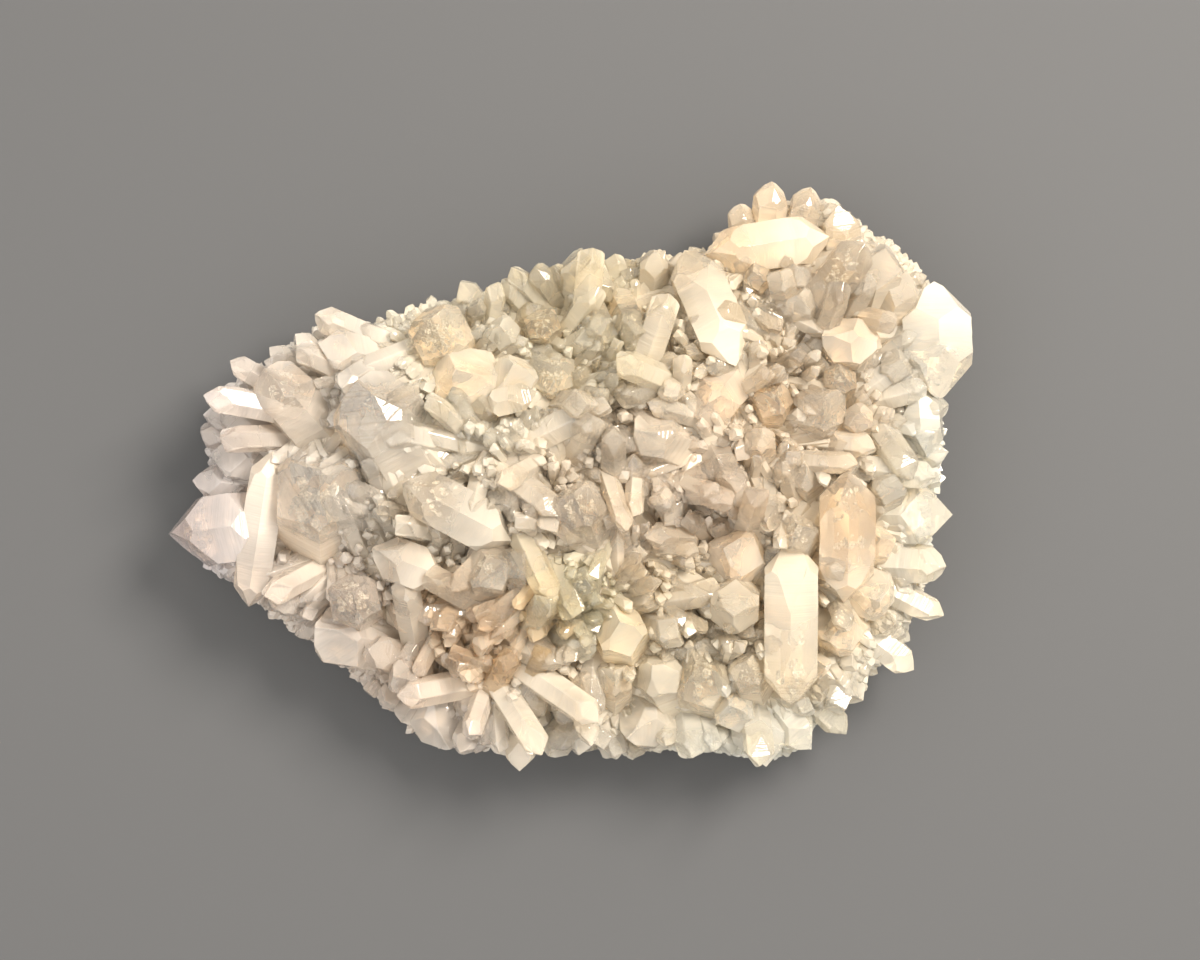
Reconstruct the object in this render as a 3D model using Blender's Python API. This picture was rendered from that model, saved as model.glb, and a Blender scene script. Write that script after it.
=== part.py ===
"""Quartz cluster: a flat bed of quartz rock with points of quartz grown out of it.

The whole thing grew as one piece, so it is one solid: the bed and the main points
are modelled one by one and then united. Lengths are in millimetres until MM turns
them into metres, and +Z is up.
"""

import math
import random

import bmesh
import bpy
from mathutils import Matrix, Vector, noise

MM = 0.001

# The whole cluster, from tip to tip
CLUSTER_LENGTH = 180.0

# The bed: height of the rock in its middle and at its rim, and of the rim's widest line
BED_HEIGHT = 29.0
RIM_HEIGHT = 15.0
BELLY_HEIGHT = 9.0
FLAT_SHARE = 0.84
ROUGHNESS = 1.6

# The points: quartz has six sides, and its end faces lean 51.8 degrees from the long axis.
# Three of the six end faces grow large, and the three between them stay small.
SIDES = 6
END_FACE_LEAN = math.radians(51.8)
TAPER = 0.94
ROOT_DEPTH = 2.5
ROOT_SHARE = 0.84
UNEVENNESS = 0.24
SMALL_FACE_SHARE = 0.06

COLUMNS = 64
TOP_RINGS = (0.94, 0.84, 0.71, 0.55, 0.37, 0.18)

# Outline of the bed from above, clockwise from the west end
OUTLINE = (
    (-83, -13), (-80, -4), (-78, 9), (-75, 21), (-66, 26), (-54, 34), (-44, 34),
    (-34, 37), (-21, 40), (-7, 44), (6, 47), (19, 49), (31, 50), (39, 56), (47, 62),
    (59, 62), (68, 56), (77, 49), (84, 40), (86, 29), (84, 18), (84, 7), (83, -4),
    (82, -15), (80, -26), (74, -38), (67, -46), (58, -53), (50, -61), (44, -62),
    (34, -60), (26, -59), (17, -61), (6, -60), (-5, -59), (-18, -60), (-29, -58),
    (-40, -50), (-48, -42), (-58, -34), (-68, -28), (-77, -20),
)

# Swells (positive) and hollows (negative) of the bed: centre, radius, height
SWELLS = (
    (-38, 12, 24, 4.0),
    (-4, 2, 26, 3.0),
    (52, 36, 26, 3.0),
    (62, -16, 26, 3.0),
    (-30, -36, 11, -6.0),
    (30, -8, 11, -4.0),
    (-52, -14, 14, -2.0),
    (26, -30, 12, -3.0),
)

# Each point: tip x, y, z, then foot x, y, width across the flats, and its turn in degrees
WEST_POINTS = (
    (-78, -22, 11, -69, -17, 6.5, 20),
    (-53, 4, 46, -54, -9, 19.0, 5),
    (-67, 26, 37, -53, 9, 12.5, 12),
    (-46, 24, 47, -33, 2, 17.5, 24),
    (-77, 21, 27, -63, 6, 9.5, 0),
    (-75, 27, 22, -66, 20, 5.0, 10),
    (-81, 15, 22, -72, 12, 7.0, 30),
    (-80, 6, 24, -70, 3, 9.0, 14),
    (-84, 0, 19, -70, -2, 8.0, 5),
    (-64, -28, 14, -62, -21, 5.0, 18),
)
NORTH_WEST_POINTS = (
    (-56, 37, 25, -43, 33, 6.5, 0),
    (-55, 30, 33, -41, 26, 9.0, 9),
    (-66, 30, 24, -61, 24, 5.0, 0),
    (-60, 33, 25, -57, 26, 5.0, 22),
    (-28, 36, 39, -26, 28, 13.0, 15),
    (-23, 26, 43, -20, 19, 15.5, 2),
    (-11, 26, 41, -11, 18, 10.0, 26),
    (-2, 26, 40, -3, 21, 10.0, 11),
    (0, 15, 40, 1, 8, 7.0, 17),
    (-19, 18, 39, -16, 14, 6.5, 7),
    (-23, 9, 38, -21, 6, 6.5, 28),
    (-11, 46, 25, -9, 37, 6.5, 4),
)
NORTH_POINTS = (
    (4, 52, 30, 2, 37, 9.0, 12),
    (-2, 48, 29, -1, 38, 5.0, 25),
    (9, 31, 40, 6, 45, 6.5, 0),
    (16, 31, 41, 14, 47, 7.0, 14),
    (20, 51, 28, 20, 42, 6.5, 3),
    (39, 62, 24, 40, 52, 5.5, 13),
    (33, 55, 23, 38, 51, 5.0, 0),
    (46, 67, 25, 47, 54, 7.0, 21),
    (55, 66, 24, 56, 56, 6.5, 9),
    (41, 46, 36, 45, 42, 5.5, 19),
    (47, 46, 38, 49, 38, 6.0, 1),
    (51, 41, 38, 54, 34, 7.0, 10),
)
NORTH_EAST_POINTS = (
    (66, 52, 43, 52, 34, 9.0, 5),
    (73, 34, 38, 60, 37, 5.0, 0),
    (61, 62, 27, 74, 51, 8.0, 7),
    (71, 52, 35, 69, 38, 10.0, 0),
    (86, 17, 27, 79, 14, 5.5, 23),
    (86, 6, 26, 79, 5, 5.5, 8),
    (76, 47, 31, 84, 38, 8.0, 2),
)
MIDDLE_POINTS = (
    (11, 12, 45, 11, -5, 5.5, 0),
    (2, -2, 49, 6, -13, 11.0, 10),
    (15, 12, 42, 27, 7, 11.0, 18),
    (28, 12, 38, 40, 25, 11.0, 7),
    (26, 27, 38, 18, 20, 6.0, 0),
    (46, 20, 39, 46, 14, 8.0, 27),
    (57, 19, 41, 56, 12, 11.0, 13),
    (65, 15, 37, 64, 10, 6.5, 5),
    (38, -4, 38, 32, 10, 7.0, 9),
    (33, -8, 33, 26, 2, 5.0, 0),
    (45, -12, 37, 45, 4, 4.5, 24),
    (43, 12, 37, 43, 1, 7.0, 6),
    (31, -11, 31, 42, -9, 5.0, 11),
    (34, -14, 39, 41, -19, 12.0, 20),
    (18, 0, 36, 17, -5, 4.5, 16),
    (-6, 17, 37, -6, 5, 4.0, 8),
    (-9, 5, 38, -5, -4, 7.0, 15),
    (19, -26, 34, 12, -17, 7.0, 4),
)
EAST_POINTS = (
    (51, -9, 42, 52, -16, 8.0, 19),
    (62, -33, 35, 60, -24, 5.0, 7),
    (58, -36, 33, 74, -36, 11.0, 10),
    (58, -41, 30, 60, -46, 5.0, 22),
    (88, -8, 27, 72, -8, 13.0, 0),
    (86, -19, 26, 68, -18, 8.0, 14),
    (70, -26, 33, 81, -30, 11.5, 3),
    (85, -31, 21, 78, -25, 5.5, 17),
    (79, -43, 20, 72, -35, 6.5, 8),
    (73, 2, 33, 75, -7, 8.0, 11),
)
SOUTH_WEST_POINTS = (
    (-46, -24, 40, -46, -30, 11.0, 12),
    (-31, -20, 39, -15, -29, 6.0, 0),
    (-17, -16, 43, -16, -22, 11.0, 21),
    (-9, -15, 42, -9, -23, 9.0, 9),
    (-35, -21, 36, -36, -49, 6.5, 0),
    (-43, -37, 31, -40, -47, 7.5, 16),
    (-38, -43, 31, -34, -51, 7.5, 2),
    (-56, -33, 31, -46, -44, 13.0, 7),
    (-58, -28, 27, -54, -22, 10.0, 24),
    (-24, -61, 22, -33, -47, 14.0, 10),
    (-37, -55, 20, -33, -49, 8.0, 1),
)
SOUTH_POINTS = (
    (8, -36, 36, -5, -35, 8.0, 6),
    (12, -30, 41, 13, -37, 11.0, 14),
    (-4, -36, 36, -9, -50, 4.5, 0),
    (-11, -37, 35, -18, -50, 5.0, 18),
    (11, -41, 34, 11, -49, 8.0, 4),
    (-4, -42, 32, -4, -56, 6.5, 11),
    (4, -43, 33, 4, -52, 8.0, 25),
    (-16, -60, 24, -16, -52, 6.5, 8),
    (-10, -66, 21, -9, -53, 6.5, 13),
    (-4, -62, 24, 4, -56, 7.5, 0),
    (-2, -51, 31, 6, -57, 6.0, 19),
    (5, -21, 42, 3, -27, 8.0, 3),
    (-14, -31, 36, -9, -36, 5.0, 22),
)
SOUTH_EAST_POINTS = (
    (37, -30, 42, 38, -25, 11.0, 9),
    (23, -23, 34, 34, -26, 6.5, 0),
    (22, -28, 31, 30, -30, 5.0, 12),
    (29, -40, 37, 31, -47, 13.0, 5),
    (40, -39, 36, 42, -48, 8.0, 20),
    (36, -50, 31, 43, -56, 9.0, 2),
    (19, -40, 35, 25, -49, 10.0, 15),
    (13, -58, 27, 23, -51, 12.0, 7),
    (45, -66, 23, 45, -53, 13.0, 0),
    (56, -61, 22, 50, -52, 8.0, 17),
    (68, -50, 20, 61, -44, 8.0, 6),
    (29, -61, 24, 30, -53, 7.0, 23),
)
GAP_POINTS = (
    (-5, 36, 37, -4, 31, 7.5, 8),
    (-14, 34, 36, -12, 30, 7.0, 21),
    (3, 24, 36, 4, 20, 6.5, 2),
    (-30, 13, 36, -27, 9, 8.0, 10),
    (-13, 8, 36, -12, 3, 6.5, 26),
    (53, 4, 37, 53, -2, 8.5, 5),
    (60, 9, 36, 61, 5, 6.5, 14),
    (74, 27, 33, 74, 23, 7.0, 22),
    (70, -12, 33, 68, -16, 7.5, 4),
    (22, -3, 32, 24, 3, 6.0, 19),
    (61, 24, 38, 60, 19, 7.5, 9),
    (20, 36, 37, 20, 31, 7.0, 6),
)
ROOTED_POINTS = (
    WEST_POINTS + NORTH_WEST_POINTS + NORTH_POINTS + NORTH_EAST_POINTS + MIDDLE_POINTS
    + EAST_POINTS + SOUTH_WEST_POINTS + SOUTH_POINTS + SOUTH_EAST_POINTS + GAP_POINTS
)

# Points that lie across the others, pointed at both ends: x, y and height over the bed
# of one end, the same of the other, then width and turn
LYING_POINTS = (
    (-90, -13, 1.5, -60, -9, 2, 15.0, 4),
    (-70, -29, 8, -64, 7, 6, 8.0, 0),
    (-5, 19, 9, -18, 16, 2, 6.0, 0),
    (26, 52, 11, 38, 24, 5, 11.0, 6),
    (30, 49, 12, 60, 54, 5, 10.5, 4),
    (55, 32, 10, 71, 28, 3, 10.0, 16),
    (83, 16, 9, 82, 46, 4, 15.0, 0),
    (80, 4, 9, 79, 22, 3, 8.0, 12),
    (-36, 0, 11, -10, -14, 3, 11.0, 3),
    (17, -12, 7, 31, -13, -1, 6.0, 0),
    (62, 3, 13, 62, -29, 4, 12.0, 0),
    (50, -51, 11, 50, -12, 5, 11.5, 4),
    (-43, -15, 10, -25, -22, 3, 9.5, 5),
)


def clear_scene():
    for thing in list(bpy.data.objects):
        bpy.data.objects.remove(thing, do_unlink=True)


def rim_radius(angle):
    """Distance from the middle to the outline, in the direction of this angle."""
    ray = Vector((math.cos(angle), math.sin(angle)))
    for start, end in zip(OUTLINE, OUTLINE[1:] + OUTLINE[:1]):
        first = Vector(start)
        side = Vector(end) - first
        across = ray.cross(side)
        if abs(across) < 1e-9:
            continue
        reach = first.cross(side) / across
        share = first.cross(ray) / across
        if reach > 0 and 0 <= share <= 1:
            return reach
    raise ValueError("the outline doesn't go round the middle")


def rough(x, y, layer, grain=9.0):
    """A smooth random value from -1 to 1 that repeats for the same place."""
    return noise.noise(Vector((x / grain, y / grain, layer)))


def bed_height(x, y):
    """Height of the rock that the points stand on."""
    share = min(math.hypot(x, y) / rim_radius(math.atan2(y, x)), 1.0)
    height = RIM_HEIGHT + (BED_HEIGHT - RIM_HEIGHT) * (1.0 - share ** 3)
    for centre_x, centre_y, radius, rise in SWELLS:
        away = math.hypot(x - centre_x, y - centre_y) / radius
        height += rise * math.exp(-away * away)
    return height + ROUGHNESS * rough(x, y, 0.0)


def add_ring(bm, share, height_at):
    """One closed row of corners, at a share of the way from the middle to the outline."""
    ring = []
    for column in range(COLUMNS):
        angle = 2.0 * math.pi * column / COLUMNS
        reach = rim_radius(angle) * share
        x = reach * math.cos(angle)
        y = reach * math.sin(angle)
        push = 1.0 + 0.012 * rough(x, y, 7.0 + share, 6.0)
        ring.append(bm.verts.new((x * push, y * push, height_at(x, y))))
    return ring


def join_rings(bm, lower, upper):
    for here in range(COLUMNS):
        there = (here + 1) % COLUMNS
        bm.faces.new((lower[here], lower[there], upper[there], upper[here]))


def close_ring(bm, ring, middle):
    centre = bm.verts.new(middle)
    for here in range(COLUMNS):
        bm.faces.new((ring[here], ring[(here + 1) % COLUMNS], centre))


def bed_mesh():
    """The rock: a flat face to rest on, a broken wall that leans out, and a rough top."""
    bm = bmesh.new()
    flat = add_ring(bm, FLAT_SHARE, lambda x, y: 0.0)
    chamfer = add_ring(bm, 0.95, lambda x, y: 3.2 + 1.2 * rough(x, y, 3.0))
    belly = add_ring(bm, 1.0, lambda x, y: BELLY_HEIGHT + 1.5 * rough(x, y, 5.0))
    rings = [flat, chamfer, belly]
    rings += [add_ring(bm, share, bed_height) for share in TOP_RINGS]
    for lower, upper in zip(rings, rings[1:]):
        join_rings(bm, lower, upper)
    close_ring(bm, rings[-1], (0.0, 0.0, bed_height(0.0, 0.0)))
    close_ring(bm, flat, (0.0, 0.0, 0.0))
    bmesh.ops.recalc_face_normals(bm, faces=bm.faces)
    mesh = bpy.data.meshes.new("bed")
    bm.to_mesh(mesh)
    bm.free()
    return mesh


def cut_end_face(bm, side, height, way):
    """Cuts one leaning face, for the end that points up (way 1) or down (way -1)."""
    angle = math.radians(60.0 * side + 30.0)
    lean = math.sin(END_FACE_LEAN)
    rise = way * math.cos(END_FACE_LEAN)
    parts = bm.verts[:] + bm.edges[:] + bm.faces[:]
    cut = bmesh.ops.bisect_plane(
        bm, geom=parts, plane_co=(0.0, 0.0, height), clear_outer=True, dist=1e-5,
        plane_no=(lean * math.cos(angle), lean * math.sin(angle), rise),
    )
    edges = [part for part in cut["geom_cut"] if isinstance(part, bmesh.types.BMEdge)]
    bmesh.ops.contextual_create(bm, geom=edges)


def point_mesh(name, width, length, both_ends, draw):
    """A six-sided point along +Z, its foot at the origin and its end faces of unequal size."""
    bm = bmesh.new()
    radius = width / math.sqrt(3.0)
    bmesh.ops.create_cone(
        bm, cap_ends=True, segments=SIDES, radius1=radius, radius2=radius * TAPER,
        depth=length, matrix=Matrix.Translation((0.0, 0.0, 0.5 * length)),
    )
    bmesh.ops.rotate(
        bm, verts=bm.verts, matrix=Matrix.Rotation(math.radians(30.0), 3, "Z"),
        cent=(0.0, 0.0, 0.0),
    )
    for side in range(SIDES):
        share = SMALL_FACE_SHARE * draw.random() if side % 2 else 0.35 + 0.65 * draw.random()
        depth = width * UNEVENNESS * share
        cut_end_face(bm, side, length - depth, 1.0)
        if both_ends:
            cut_end_face(bm, side, 0.8 * depth, -1.0)
    mesh = bpy.data.meshes.new(name)
    bm.to_mesh(mesh)
    bm.free()
    return mesh


def rooted(x, y):
    """A foot that would come out of the broken wall is drawn in under the bed."""
    share = math.hypot(x, y) / rim_radius(math.atan2(y, x))
    pull = min(ROOT_SHARE / max(share, 1e-6), 1.0)
    return x * pull, y * pull


def point_places():
    """Foot, tip, width, turn and whether both ends are pointed, for each point."""
    for tip_x, tip_y, tip_z, foot_x, foot_y, width, turn in ROOTED_POINTS:
        foot_x, foot_y = rooted(foot_x, foot_y)
        rock = bed_height(foot_x, foot_y)
        run = math.hypot(tip_x - foot_x, tip_y - foot_y)
        leaning = run / math.hypot(tip_z - rock, run)
        foot_z = rock - ROOT_DEPTH - 0.45 * width * leaning
        foot = Vector((foot_x, foot_y, max(foot_z, 0.5 * width * leaning + 1.5)))
        yield foot, Vector((tip_x, tip_y, tip_z)), width, turn, False
    for tip_x, tip_y, tip_lift, foot_x, foot_y, foot_lift, width, turn in LYING_POINTS:
        foot = Vector((foot_x, foot_y, bed_height(foot_x, foot_y) + foot_lift))
        tip = Vector((tip_x, tip_y, bed_height(tip_x, tip_y) + tip_lift))
        yield foot, tip, width, turn, True


def rock_material():
    material = bpy.data.materials.new("milky_quartz")
    material.use_nodes = True
    shader = material.node_tree.nodes["Principled BSDF"]
    shader.inputs["Base Color"].default_value = (0.66, 0.56, 0.41, 1.0)
    shader.inputs["Roughness"].default_value = 0.25
    shader.inputs["Metallic"].default_value = 0.0
    return material


def final_place(things):
    """Brings the middle of the cluster's box over the origin, at its full length in metres."""
    corners = [thing.matrix_world @ corner.co for thing in things for corner in thing.data.vertices]
    low_x = min(corner.x for corner in corners)
    high_x = max(corner.x for corner in corners)
    low_y = min(corner.y for corner in corners)
    high_y = max(corner.y for corner in corners)
    middle = Vector((0.5 * (low_x + high_x), 0.5 * (low_y + high_y), 0.0))
    scale = MM * CLUSTER_LENGTH / (high_x - low_x)
    return Matrix.Scale(scale, 4) @ Matrix.Translation(-middle)


def build():
    clear_scene()
    cluster = bpy.data.objects.new("quartz_cluster", bed_mesh())
    cluster.data.materials.append(rock_material())
    bpy.context.scene.collection.objects.link(cluster)
    points = bpy.data.collections.new("points")
    bpy.context.scene.collection.children.link(points)
    draw = random.Random(5)
    for number, (foot, tip, width, turn, both_ends) in enumerate(point_places()):
        along = tip - foot
        mesh = point_mesh(f"point_{number:03d}", width, along.length, both_ends, draw)
        point = bpy.data.objects.new(mesh.name, mesh)
        aim = along.to_track_quat("Z", "Y").to_matrix().to_4x4()
        spin = Matrix.Rotation(math.radians(turn), 4, "Z")
        point.matrix_world = Matrix.Translation(foot) @ aim @ spin
        point.hide_render = True
        point.display_type = "WIRE"
        points.objects.link(point)
    things = [cluster, *points.objects]
    place = final_place(things)
    for thing in things:
        thing.data.transform(place @ thing.matrix_world)
        thing.matrix_world = Matrix.Identity(4)
    union = cluster.modifiers.new("grown_together", "BOOLEAN")
    union.operation = "UNION"
    union.operand_type = "COLLECTION"
    union.collection = points
    union.solver = "EXACT"


build()
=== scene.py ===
# %% [markdown]
# # A quartz cluster
# Quartz grows as six-sided points on a bed of quartz rock. This lesson builds the looks
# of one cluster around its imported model, which is the frame: the big points stand where
# the frame has them, and everything smaller is grown between them.

# %% The frame
import math
import random

import bmesh
import bpy
import numpy as np
from mathutils import Matrix, Vector, noise
from mathutils.bvhtree import BVHTree


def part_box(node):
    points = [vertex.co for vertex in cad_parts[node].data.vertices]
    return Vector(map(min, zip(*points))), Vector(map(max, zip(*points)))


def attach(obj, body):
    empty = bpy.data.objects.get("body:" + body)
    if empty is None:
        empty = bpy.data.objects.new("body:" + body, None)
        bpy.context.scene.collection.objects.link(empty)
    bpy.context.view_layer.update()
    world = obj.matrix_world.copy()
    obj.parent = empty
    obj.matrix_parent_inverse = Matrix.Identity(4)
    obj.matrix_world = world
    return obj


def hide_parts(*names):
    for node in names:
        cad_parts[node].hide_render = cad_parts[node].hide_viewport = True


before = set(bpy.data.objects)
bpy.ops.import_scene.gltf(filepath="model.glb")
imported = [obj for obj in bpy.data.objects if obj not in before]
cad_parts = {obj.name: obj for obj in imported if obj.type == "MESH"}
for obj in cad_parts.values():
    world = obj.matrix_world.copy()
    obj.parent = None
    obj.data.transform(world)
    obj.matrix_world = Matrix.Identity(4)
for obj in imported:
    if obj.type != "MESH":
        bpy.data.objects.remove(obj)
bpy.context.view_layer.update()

CLUSTER = "quartz_cluster"
MM = 0.001
low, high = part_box(CLUSTER)
LENGTH, DEPTH, HEIGHT = high - low
print("the frame is", [round(side / MM, 1) for side in (LENGTH, DEPTH, HEIGHT)], "mm")


def nothing_selected():
    """An operator acts on all that is selected, so each piece starts from nothing."""
    if bpy.context.object and bpy.context.object.mode != "OBJECT":
        bpy.ops.object.mode_set(mode="OBJECT")
    bpy.ops.object.select_all(action="DESELECT")


def finished(piece, material):
    """Rides the piece on the cluster's one body, in place of the plain solid."""
    piece.data.materials.append(material)
    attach(piece, "root")
    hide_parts(CLUSTER)
    return piece


# %% [markdown]
# ## The camera and the soft studio light
# The cluster is seen from straight above, through a long lens, so that its outline isn't
# pulled about. A big soft light stands high on the upper right, as a window would, and a
# pale room fills in the rest. Clear crystal shows mostly what it mirrors and bends, so the
# room has to be bright all round.

# %% Camera, floor and lights
VIEW_WIDTH = 0.2662
LENS = 120.0
SENSOR = 36.0
AIM = Vector((0.0080, 0.0, 0.022))


def linear(code):
    """An sRGB hex colour as the linear colour that shaders work in."""
    colour = []
    for place in (1, 3, 5):
        part = int(code[place:place + 2], 16) / 255.0
        colour.append(part / 12.92 if part <= 0.04045 else ((part + 0.055) / 1.055) ** 2.4)
    return colour + [1.0]


def soft_light(name, place, side, power, colour):
    lamp = bpy.data.lights.new(name, "AREA")
    lamp.shape = "SQUARE"
    lamp.size = side
    lamp.energy = power
    lamp.color = linear(colour)[:3]
    light = bpy.data.objects.new(name, lamp)
    light.location = place
    light.rotation_mode = "QUATERNION"
    light.rotation_quaternion = (Vector(place) - AIM).to_track_quat("Z", "Y")
    bpy.context.scene.collection.objects.link(light)


camera_data = bpy.data.cameras.new("camera")
camera_data.lens = LENS
camera_data.sensor_width = SENSOR
camera = bpy.data.objects.new("camera", camera_data)
camera.location = AIM + Vector((0.0, 0.0, VIEW_WIDTH * LENS / SENSOR))
bpy.context.scene.collection.objects.link(camera)
bpy.context.scene.camera = camera

soft_light("window", (0.50, 0.42, 0.85), 0.42, 18.5, "#fff8ee")
soft_light("sky_fill", (-0.55, -0.35, 0.9), 0.9, 3.0, "#f4f6ff")

world = bpy.data.worlds.new("pale room")
world.use_nodes = True
world.node_tree.nodes["Background"].inputs["Color"].default_value = linear("#f6f2ea")
world.node_tree.nodes["Background"].inputs["Strength"].default_value = 1.5
bpy.context.scene.world = world
bpy.context.scene.view_settings.view_transform = "Standard"
bpy.context.scene.view_settings.exposure = 0.0
# Light goes through several clear points on its way, so it may bend ten times
bpy.context.scene.cycles.max_bounces = 10
bpy.context.scene.cycles.transmission_bounces = 10
bpy.context.scene.cycles.diffuse_bounces = 4
bpy.context.scene.cycles.glossy_bounces = 4
bpy.context.scene.cycles.adaptive_threshold = 0.05

nothing_selected()
bpy.ops.mesh.primitive_plane_add(size=8.0, location=(0.0, 0.0, -0.0002))
floor = bpy.context.object
floor.name = "floor"
print("camera", round(camera.location.z, 3), "m over the table")

# %% [markdown]
# ## Finishes
# All of it is one mineral, and what differs is how clear it grew. A point that had room
# and time is clear, with faint growth lines across its sides. The roots are milky with
# tiny bubbles, the crust is fine and sugary, and the hollows hold iron stain and painted
# shade. Every corner of a point keeps four values for this: its colour, which holds
# painted light and shade besides the quartz's own colour, how far along the point it
# lies, how milky it is there, and the point's luck, a number that makes no two points alike.

# %% A node, and the quartz materials
QUARTZ_IOR = 1.544


def node(material, kind, settings=None, links=None, sockets=None):
    """Adds a node: its settings, its input values, and what its inputs are linked to."""
    made = material.node_tree.nodes.new(kind)
    for name, value in (settings or {}).items():
        setattr(made, name, value)
    for name, value in (sockets or {}).items():
        made.inputs[name].default_value = value
    for name, source in (links or {}).items():
        material.node_tree.links.new(source, made.inputs[name])
    return made


def empty_material(name):
    material = bpy.data.materials.new(name)
    material.use_nodes = True
    for old in list(material.node_tree.nodes):
        if old.type != "OUTPUT_MATERIAL":
            material.node_tree.nodes.remove(old)
    return material


def quartz(name, clear_low, clear_high, rough_low, rough_high, density, groove):
    """Quartz as it grew. clear_low and clear_high are how see-through its milkiest and its
    clearest parts are, and groove is the depth of the growth lines in millimetres."""
    material = empty_material(name)
    output = material.node_tree.nodes["Material Output"]
    place = node(material, "ShaderNodeTexCoord").outputs["Object"]
    # This colour attribute holds painted light besides the quartz's own colour: painted shade at the
    # west end and in the gaps, painted light on the east rim
    tint_and_painted_light = node(material, "ShaderNodeAttribute", {"attribute_name": "tint_and_painted_light"}).outputs["Vector"]
    luck = node(material, "ShaderNodeAttribute", {"attribute_name": "luck"}).outputs["Fac"]
    milk = node(material, "ShaderNodeAttribute", {"attribute_name": "milk"}).outputs["Fac"]
    along = node(material, "ShaderNodeAttribute", {"attribute_name": "along"}).outputs["Fac"]
    # A point is milky at its root and on its underside, and soft clouds drift in it
    cloud = node(material, "ShaderNodeTexNoise", {}, {"Vector": place},
                 {"Scale": 150.0, "Detail": 1.0, "Roughness": 0.5}).outputs["Fac"]
    unlike = node(material, "ShaderNodeMath", {"operation": "ADD"}, {0: cloud, 1: luck})
    murk = node(material, "ShaderNodeMath", {"operation": "MULTIPLY_ADD", "use_clamp": True},
                {0: unlike.outputs["Value"], 2: milk}, {1: 0.3}).outputs["Value"]
    clear = node(material, "ShaderNodeMapRange", {}, {"Value": murk},
                 {"To Min": clear_high, "To Max": clear_low})
    dull = node(material, "ShaderNodeMapRange", {}, {"Value": murk},
                {"To Min": rough_low, "To Max": rough_high})
    # Growth lines: steps across the sides, about 0.8 mm apart. along is in millimetres
    wobble = node(material, "ShaderNodeTexNoise", {}, {"Vector": place},
                  {"Scale": 150.0, "Detail": 0.0})
    shifted = node(material, "ShaderNodeMath", {"operation": "MULTIPLY_ADD"},
                   {0: wobble.outputs["Fac"], 2: along}, {1: 0.4})
    lines = node(material, "ShaderNodeTexNoise", {"noise_dimensions": "1D"},
                 {"W": shifted.outputs["Value"]}, {"Scale": 1.25, "Detail": 1.0, "Roughness": 0.7})
    bump = node(material, "ShaderNodeBump", {}, {"Height": lines.outputs["Fac"]},
                {"Strength": 1.0, "Distance": groove * MM})
    # Quartz hardly colours the light, so its tint is kept pale. A colour mix has its
    # colours on sockets 6 and 7, and its result on output 2
    colour = node(material, "ShaderNodeMix", {"data_type": "RGBA"}, {6: tint_and_painted_light},
                  {0: 0.18, 7: (0.96, 0.95, 0.92, 1.0)})
    shader = node(material, "ShaderNodeBsdfPrincipled", {}, {
        "Base Color": colour.outputs[2], "Roughness": dull.outputs["Result"],
        "Transmission Weight": clear.outputs["Result"], "Normal": bump.outputs["Normal"],
    }, {"IOR": QUARTZ_IOR})
    inside = node(material, "ShaderNodeVolumeAbsorption", {}, {},
                  {"Color": linear("#ffe8c8"), "Density": density})
    material.node_tree.links.new(shader.outputs["BSDF"], output.inputs["Surface"])
    material.node_tree.links.new(inside.outputs["Volume"], output.inputs["Volume"])
    return material


clear_quartz = quartz("clear_rock_crystal_as_grown", 0.50, 0.86, 0.01, 0.07, 24.0, 0.07)
milky_quartz = quartz("milky_quartz_as_grown", 0.40, 0.76, 0.02, 0.12, 24.0, 0.07)
sugar_quartz = quartz("sugary_quartz_crust", 0.30, 0.60, 0.05, 0.20, 12.0, 0.03)


def rock(name):
    """Massive quartz, broken: no faces, a sugary break, patches of brown stain, painted shade on
    top.
    """
    material = empty_material(name)
    output = material.node_tree.nodes["Material Output"]
    place = node(material, "ShaderNodeTexCoord").outputs["Object"]
    # This colour attribute holds painted light and shade besides the rock's own colour, with most
    # painted shade on its top between the points
    tint_and_painted_light = node(material, "ShaderNodeAttribute", {"attribute_name": "tint_and_painted_light"})
    patch = node(material, "ShaderNodeTexNoise", {}, {"Vector": place},
                 {"Scale": 90.0, "Detail": 5.0, "Roughness": 0.65})
    stain = node(material, "ShaderNodeMapRange", {"interpolation_type": "SMOOTHSTEP"},
                 {"Value": patch.outputs["Fac"]},
                 {"From Min": 0.45, "From Max": 0.7, "To Min": 0.0, "To Max": 0.55})
    colour = node(material, "ShaderNodeMix", {"data_type": "RGBA"},
                  {0: stain.outputs["Result"], 6: tint_and_painted_light.outputs["Vector"]}, {7: linear("#ecd3ab")})
    grain = node(material, "ShaderNodeTexVoronoi", {"feature": "F1"}, {"Vector": place},
                 {"Scale": 900.0})
    coarse = node(material, "ShaderNodeTexNoise", {}, {"Vector": place},
                  {"Scale": 260.0, "Detail": 6.0})
    relief = node(material, "ShaderNodeMath", {"operation": "MULTIPLY_ADD"},
                  {0: grain.outputs["Distance"], 2: coarse.outputs["Fac"]}, {1: 0.7})
    bump = node(material, "ShaderNodeBump", {}, {"Height": relief.outputs["Value"]},
                {"Strength": 0.8, "Distance": 0.5 * MM})
    glint = node(material, "ShaderNodeMapRange", {}, {"Value": grain.outputs["Distance"]},
                 {"From Max": 0.8, "To Min": 0.2, "To Max": 0.6})
    shader = node(material, "ShaderNodeBsdfPrincipled", {}, {
        "Base Color": colour.outputs[2], "Roughness": glint.outputs["Result"],
        "Normal": bump.outputs["Normal"],
    }, {"IOR": QUARTZ_IOR})
    material.node_tree.links.new(shader.outputs["BSDF"], output.inputs["Surface"])
    return material


bed_rock = rock("massive_quartz_broken")


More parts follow.
